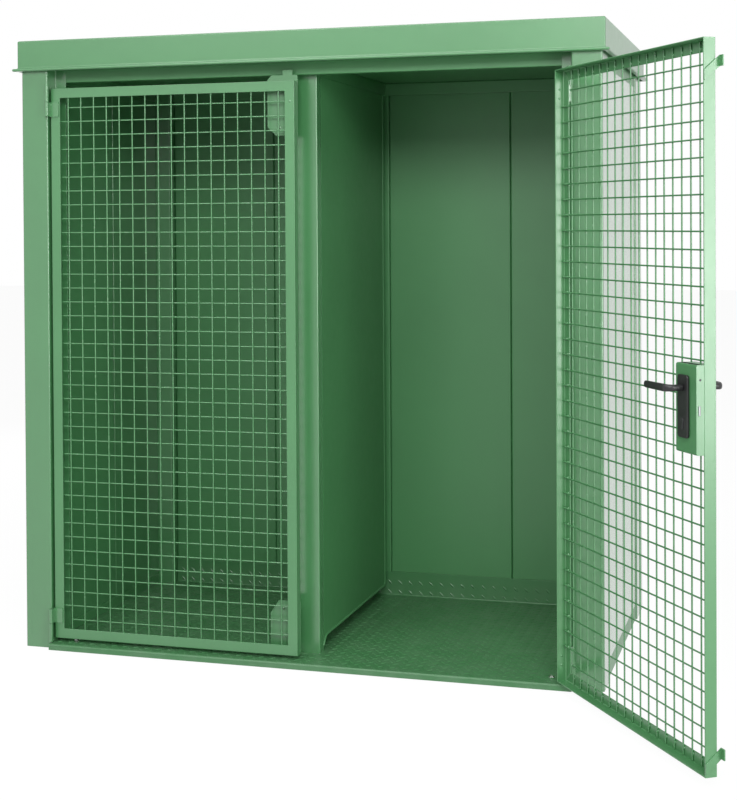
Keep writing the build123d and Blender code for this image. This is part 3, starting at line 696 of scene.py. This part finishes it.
def frame_studs():
    """The fastener ends on the inside of the hinge stile's side leg."""
    form = Form()
    for z in STUD_HEIGHTS:
        form.dome((HINGE_EDGE - ANGLE, STUD_Y, z), "x", 4.0, -1.8, 12)
    return form


# Leaves
for side, body in (("left", "left_door"), ("right", "right_door")):
    tag, edge = side + "_leaf_", EDGES[side]
    make(side + "_frame", leaf_frame(edge), body, DOOR_PAINT,
         [tag + "hinge_stile", tag + "free_stile", tag + "rails"], side)
    make(side + "_wires", leaf_mesh(edge, side == "right"), body, WIRE_PAINT,
         [tag + "mesh_upper", tag + "mesh_lower"], side, crease=60)
    make(side + "_wire_welds", weld_spots(edge), body, WIRE_PAINT, (), side, crease=80)
    make(side + "_corner_welds", corner_welds(edge), body, DOOR_PAINT, (), side, crease=80)
    make(side + "_hinge_barrels", leaf_barrels(), body, BODY_PAINT, [tag + "knuckles"], side)
    make(side + "_frame_studs", frame_studs(), body, BODY_PAINT, (), side, crease=60)

# Stop plates of the left leaf
STOP_WIDTH, STOP_THICK, STOP_BEVEL = 110.0, 4.0, 30.0
STOP_RISE, STOP_HIGH, FOOT_HIGH = 23, 209, 181
TAB, TAB_RISE, TAB_DROP = 36.0, 18, 8
RIVET_X, RIVET_HIGH, RIVET_LOW = 73.0, 1865.0, 27
FRONT_RIVET_X, FRONT_RIVET_Z = 25.0, 1953.0
stop_x = FREE_EDGE + STOP_WIDTH
stop_top = LEAF_TOP + STOP_RISE
stop_low = stop_top - STOP_HIGH
foot_top = LEAF_BOTTOM + FOOT_HIGH
tab_near, tab_mid, tab_far = FREE_EDGE + TAB / 2, FREE_EDGE + TAB, FREE_EDGE + 1.5 * TAB
upper_plate = fillet(
    [(FREE_EDGE, stop_low), (stop_x - STOP_BEVEL, stop_low), (stop_x, stop_low + STOP_BEVEL),
     (stop_x, stop_top - STOP_BEVEL / 2), (stop_x - STOP_BEVEL / 2, stop_top), (tab_far, stop_top),
     (tab_far, stop_top + TAB_RISE), (tab_near, stop_top + TAB_RISE), (tab_near, stop_top),
     (FREE_EDGE, stop_top)],
    [2, 4, 4, 4, 4, 1, 3, 3, 1, 2], 3)
lower_plate = fillet(
    [(FREE_EDGE, foot_top), (FREE_EDGE, LEAF_BOTTOM), (tab_near, LEAF_BOTTOM),
     (tab_near, LEAF_BOTTOM - TAB_DROP), (tab_mid, LEAF_BOTTOM - TAB_DROP), (tab_mid, LEAF_BOTTOM),
     (stop_x, LEAF_BOTTOM),
     (stop_x, foot_top - 1.5 * STOP_BEVEL), (stop_x - STOP_BEVEL, foot_top)],
    [2, 2, 1, 2, 2, 1, 2, 4, 4], 3)
stops = Form()
for plate in (upper_plate, lower_plate):
    stops.prism(plate, "y", LEAF_IN, LEAF_IN + STOP_THICK)
make("stop_plates", stops, "left_door", DOOR_PAINT, ["left_leaf_stop_plates"], "left", bevel=0.6, crease=60)
rivets = Form()
for z in (RIVET_HIGH, foot_top - RIVET_LOW):
    rivets.dome((RIVET_X, LEAF_IN + STOP_THICK, z), "y", 5.0, 2.4, 16)
    rivets.dome((RIVET_X, LEAF_IN, z), "y", 5.0, -2.4, 16)
rivets.dome((FRONT_RIVET_X, LEAF_OUT, FRONT_RIVET_Z), "y", 4.5, -1.0, 12)
make("stop_rivets", rivets, "left_door", BODY_PAINT, (), "left", crease=60)

# Hooks of the right leaf
HOOK_FEET = (44.0, 1906.0)
HOOK_OUT, HOOK_WIDE, HOOK_THICK, HOOK_HIGH, HOOK_RISE = 14, 20, 4, 30, 40
tip_y = LEAF_OUT - HOOK_OUT
hook_end, hook_back = LOCK_EDGE - HOOK_WIDE, tip_y + HOOK_THICK
hook_turn = fillet([(LOCK_EDGE, hook_back), (LOCK_EDGE, tip_y), (hook_end, tip_y), (hook_end, hook_back),
                    (LOCK_EDGE - HOOK_THICK, hook_back)], [0.4, 3, 0.8, 0.8, 0.4], 3)
hooks = Form()
for z in HOOK_FEET:
    arm_low, arm_high = z + HOOK_RISE, z + HOOK_RISE + HOOK_HIGH
    hooks.prism(fillet([(LEAF_IN, z), (LEAF_IN, z + HOOK_HIGH), (tip_y + 3, arm_high), (tip_y + 3, arm_low)],
                       [2, 2, 0.5, 0.5], 3), "x", LOCK_EDGE - HOOK_THICK, LOCK_EDGE)
    hooks.prism(hook_turn, "z", arm_low, arm_high)
make("hooks", hooks, "right_door", DOOR_PAINT, ["right_leaf_hooks"], "right", bevel=0.5, crease=50)

# Lock
# The case stands inside the frame. Its upper and lower edges are rounded where it stands out behind the leaf.
LOCK_ROUND, CASE_ROUND = 7.0, 6.0
lock = Form()
lock.prism(fillet([(LOCK_EDGE + ANGLE, MESH_OUT), (LOCK_FAR, MESH_OUT), (LOCK_FAR, LOCK_BACK - LOCK_ROUND),
                   (LOCK_EDGE + ANGLE, LOCK_BACK - LOCK_ROUND)], [0, 3, 0, 0]), "z", LOCK_LOW, LOCK_HIGH)
lock.box(LOCK_EDGE + LEG, LEAF_OUT, LOCK_LOW, LOCK_FAR, MESH_OUT + 1, LOCK_HIGH, "z", 1.0)
inner_face = [(LEAF_IN, LOCK_LOW), (LOCK_BACK, LOCK_LOW), (LOCK_BACK, LOCK_HIGH), (LEAF_IN, LOCK_HIGH)]
lock.prism(fillet(inner_face, [0.5, CASE_ROUND, CASE_ROUND, 0.5], 6), "x", LOCK_EDGE, LOCK_FAR)
make("lock_body", lock, "right_door", DOOR_PAINT, ["lock_case"], "right", bevel=1.4, segments=3, crease=50)

plates = Form()
for y0, y1 in ((LOCK_BACK, LOCK_BACK + PLATE_THICK), (LEAF_OUT - PLATE_THICK, LEAF_OUT)):
    plates.prism(fillet(rectangle(LEVER_X - PLATE_HALF, LEVER_X + PLATE_HALF, PLATE_LOW, PLATE_HIGH), 9, 6),
                 "y", y0, y1)
make("handle_plates", plates, "right_door", PLASTIC, ["lock_plates"], "right", bevel=2.6,
     segments=3, crease=50)

# A key cylinder is a round head on a narrower foot.
KEY_RADIUS, KEY_HALF, KEY_TOE = 8.5, 5.1, 3
KEY_SIDE_LOW, KEY_BOTTOM = KEY_Z - 20, KEY_Z - 23.5
key_outline = []
for step in range(21):
    turn = math.radians(-53 + 286 * step / 20)
    key_outline.append((LEVER_X + KEY_RADIUS * math.cos(turn), KEY_Z + KEY_RADIUS * math.sin(turn)))
key_outline += [(LEVER_X - KEY_HALF, KEY_SIDE_LOW), (LEVER_X - KEY_TOE, KEY_BOTTOM),
                (LEVER_X + KEY_TOE, KEY_BOTTOM), (LEVER_X + KEY_HALF, KEY_SIDE_LOW)]
key_form, keyway_shade, screws = Form(), Form(), Form()
for face, out in ((LOCK_BACK + PLATE_THICK, 1), (LEAF_OUT - PLATE_THICK, -1)):
    y0, y1 = sorted((face - out * 1.0, face + out * 2.0))
    key_form.prism(key_outline, "y", y0, y1)
    # A thin black sheet on each cylinder face stands for the keyway's hole: painted shade.
    y0, y1 = sorted((face + out * 1.9, face + out * 2.15))
    keyway_shade.prism(fillet(rectangle(LEVER_X - 1.3, LEVER_X + 1.3, KEY_Z - 8, KEY_Z + 5), 0.6), "y", y0, y1)
screws.dome((LOCK_EDGE, LEAF_IN + 12.0, LOCK_HIGH - 40.0), "x", 3.4, -1.0, 12)
make("key_cylinders", key_form, "right_door", DARK_STEEL, (), "right", bevel=0.5, crease=50)
make("key_slot_painted_shade", keyway_shade, "right_door", PLASTIC, (), "right")
make("lock_screws", screws, "right_door", DARK_STEEL, (), "right", crease=60)

LATCH_NOSE, LATCH_SLOPE = 4, 11
latch = Form()
latch_tip = LOCK_EDGE - LATCH_OUT
latch_end, latch_back = latch_tip + LATCH_LONG, LATCH_FACE + LATCH_THICK
latch.prism(fillet([(latch_tip, latch_back), (latch_tip, latch_back - LATCH_NOSE),
                    (latch_tip + LATCH_SLOPE, LATCH_FACE), (latch_end, LATCH_FACE), (latch_end, latch_back)],
                   [1, 1, 1, 0, 0], 3), "z", LATCH_LOW, LATCH_HIGH)
make("latch", latch, "latch", ZINC, ["latch_bolt"], "right", bevel=0.7, crease=50)


LEVER_BEND, LEVER_BOW = 15.0, 2.4


def lever_arm(form, face, out):
    """A round neck that turns into a thick, slightly curved handle with a rounded end."""
    far = face + out * (LEVER_OFF + LEVER_THICK / 2)
    # Each point of the line holds x, y and the section's two half sizes.
    line = [(LEVER_X, face + out * 2, 9.0, 9.0), (LEVER_X, face + out * (LEVER_OFF - 16), 8.6, 8.8)]
    for step in range(6):
        turn = math.radians(90 * step / 5)
        x, y = LEVER_BEND * (1 - math.cos(turn)), out * LEVER_BEND * (1 - math.sin(turn))
        line.append((LEVER_X + x, far - y, 8.4 - 0.3 * step, 9.2 + 0.3 * step))
    for share in (0.25, 0.5, 0.75, 0.9):
        x = LEVER_X + LEVER_BEND + share * (LEVER_REACH - LEVER_BEND)
        line.append((x, far - out * LEVER_BOW * share ** 2, 6.8, 10.8 - 0.9 * share))
    tip = LEVER_X + LEVER_REACH
    line += [(tip - 5, far - out * LEVER_BOW, 6.6, 9.6), (tip - 1.8, far - out * 2.5, 5.2, 7.8),
             (tip - 0.2, far - out * 2.5, 2.4, 4.0)]
    rings = []
    for index, (cx, cy, half_y, half_z) in enumerate(line):
        before, after = line[max(index - 1, 0)], line[min(index + 1, len(line) - 1)]
        way = Vector((after[0] - before[0], after[1] - before[1])).normalized()
        ring = []
        for k in range(20):
            turn = 2 * math.pi * k / 20
            c, s = math.cos(turn), math.sin(turn)
            c, s = (math.copysign(abs(value) ** 0.8, value) for value in (c, s))
            ring.append((cx - way.y * half_y * c, cy + way.x * half_y * c, LEVER_Z + half_z * s))
        rings.append(ring)
    form.rings(rings)


lever = Form()
lever_arm(lever, LOCK_BACK + PLATE_THICK, 1)
lever_arm(lever, LEAF_OUT - PLATE_THICK, -1)
lever.lathe([(4.9, 0), (4.9, LOCK_BACK - LEAF_OUT + 2 * PLATE_THICK + 6)],
            (LEVER_X, LEAF_OUT - PLATE_THICK - 3, LEVER_Z), "y", 16)
make("lever", lever, "lever", PLASTIC, ["lever_handle"], "right", crease=60)

# CAD nodes that show as they are
for node, finish in (("floor_bearers", BODY_PAINT), ("roof_ceiling", WALL_PAINT)):
    materials = frame["nodes"][node].data.materials
    materials.clear()
    materials.append(finish)

# Floor, light and camera
GROUND_HALF, GROUND_Z = 30, -0.0004
ground_mesh = bpy.data.meshes.new("ground")
ground_mesh.from_pydata(
    [(x, y, GROUND_Z) for x, y in rectangle(-GROUND_HALF, GROUND_HALF, -GROUND_HALF, GROUND_HALF)], [],
    [(0, 1, 2, 3)])
ground = bpy.data.objects.new("ground", ground_mesh)
bpy.context.scene.collection.objects.link(ground)


def seen_directly(nodes, links):
    """1 for camera, glossy and transmission rays, otherwise 0."""
    path = nodes.new("ShaderNodeLightPath")
    total = path.outputs["Is Camera Ray"]
    for name in ("Is Glossy Ray", "Is Transmission Ray"):
        node = nodes.new("ShaderNodeMath")
        node.operation, node.use_clamp = "ADD", True
        links.new(total, node.inputs[0])
        links.new(path.outputs[name], node.inputs[1])
        total = node.outputs["Value"]
    return total


GROUND_GREY, GROUND_GLOW, GLOW_SHARE, SOFT_LIGHT = 0.62, 1.08, 0.88, 0.20
ground_finish = bpy.data.materials.new("ground_finish")
ground_finish.use_nodes = True
nodes, links = ground_finish.node_tree.nodes, ground_finish.node_tree.links
nodes.remove(nodes["Principled BSDF"])
matt, glow, blend = (nodes.new("ShaderNode" + kind) for kind in ("BsdfDiffuse", "Emission", "MixShader"))
matt.inputs["Color"].default_value = (GROUND_GREY, GROUND_GREY, GROUND_GREY, 1)
glow.inputs["Strength"].default_value = GROUND_GLOW
share = nodes.new("ShaderNodeMath")
share.operation = "MULTIPLY"
share.inputs[1].default_value = GLOW_SHARE
links.new(seen_directly(nodes, links), share.inputs[0])
links.new(share.outputs["Value"], blend.inputs["Fac"])
links.new(matt.outputs["BSDF"], blend.inputs[1])
links.new(glow.outputs["Emission"], blend.inputs[2])
links.new(blend.outputs["Shader"], nodes["Material Output"].inputs["Surface"])
ground_mesh.materials.append(ground_finish)

world = bpy.data.worlds.new("studio")
bpy.context.scene.world = world
world.use_nodes = True
nodes, links = world.node_tree.nodes, world.node_tree.links
soft, white = nodes["Background"], nodes.new("ShaderNodeBackground")
blend = nodes.new("ShaderNodeMixShader")
soft.inputs["Color"].default_value = (1, 1, 1, 1)
soft.inputs["Strength"].default_value = SOFT_LIGHT
white.inputs["Color"].default_value = (1, 1, 1, 1)
white.inputs["Strength"].default_value = 1.0
links.new(seen_directly(nodes, links), blend.inputs["Fac"])
links.new(soft.outputs["Background"], blend.inputs[1])
links.new(white.outputs["Background"], blend.inputs[2])
links.new(blend.outputs["Shader"], nodes["World Output"].inputs["Surface"])


def area_lamp(name, spot, target, wide, high, power):
    data = bpy.data.lights.new(name, "AREA")
    data.shape, data.size, data.size_y, data.energy = "RECTANGLE", wide, high, power
    lamp = bpy.data.objects.new(name, data)
    lamp.location = spot
    lamp.rotation_euler = (Vector(target) - Vector(spot)).to_track_quat("-Z", "Y").to_euler()
    lamp.visible_camera = False
    bpy.context.scene.collection.objects.link(lamp)


area_lamp("front_lamp", (2.2, -7.2, 4.2), (0, -0.2, 1.0), 4.0, 1.8, 290.0)
area_lamp("left_lamp", (-2.4, -6.0, 4.6), (0, -0.4, 1.0), 2.4, 2.0, 80.0)
area_lamp("sky_lamp", (-0.2, -2.5, 7.4), (0, -0.5, 0.3), 5.6, 1.8, 140.0)
area_lamp("right_lamp", (6.0, -3.7, 1.5), (1.2, -1.0, 1.1), 2.2, 2.6, 150.0)
area_lamp("rear_lamp", (-2.6, 5.2, 2.8), (0, 0.2, 1.1), 3.0, 3.0, 70.0)

# The photo's size and optical centre are in pixels, the camera's place in metres, its turns in degrees.
PHOTO_WIDE, PHOTO_HIGH = 737, 800
CENTRE_X, CENTRE_Y, FOCAL_PIXELS = 344.76, 247.12, 1564.6
SENSOR_MM = 36.0
CAMERA_SPOT, CAMERA_TURNS = (1.7049, -5.6808, 1.5311), (16.73, 0.865, -0.337)
camera_data = bpy.data.cameras.new("camera")
camera = bpy.data.objects.new("camera", camera_data)
bpy.context.scene.collection.objects.link(camera)
yaw, pitch, roll = (math.radians(angle) for angle in CAMERA_TURNS)
forward = Vector((-math.sin(yaw) * math.cos(pitch), math.cos(yaw) * math.cos(pitch), -math.sin(pitch)))
level = Vector((math.cos(yaw), math.sin(yaw), 0.0))
upward = level.cross(forward)
right = level * math.cos(roll) + upward * math.sin(roll)
top = upward * math.cos(roll) - level * math.sin(roll)
turned = Matrix((right, top, -forward)).transposed().to_4x4()
camera.matrix_world = Matrix.Translation(CAMERA_SPOT) @ turned
camera_data.sensor_width = SENSOR_MM
camera_data.lens = FOCAL_PIXELS * SENSOR_MM / PHOTO_HIGH
camera_data.shift_x = (PHOTO_WIDE / 2 - CENTRE_X) / PHOTO_HIGH
camera_data.shift_y = (CENTRE_Y - PHOTO_HIGH / 2) / PHOTO_HIGH
bpy.context.scene.camera = camera

bpy.context.scene.view_settings.view_transform = "Standard"
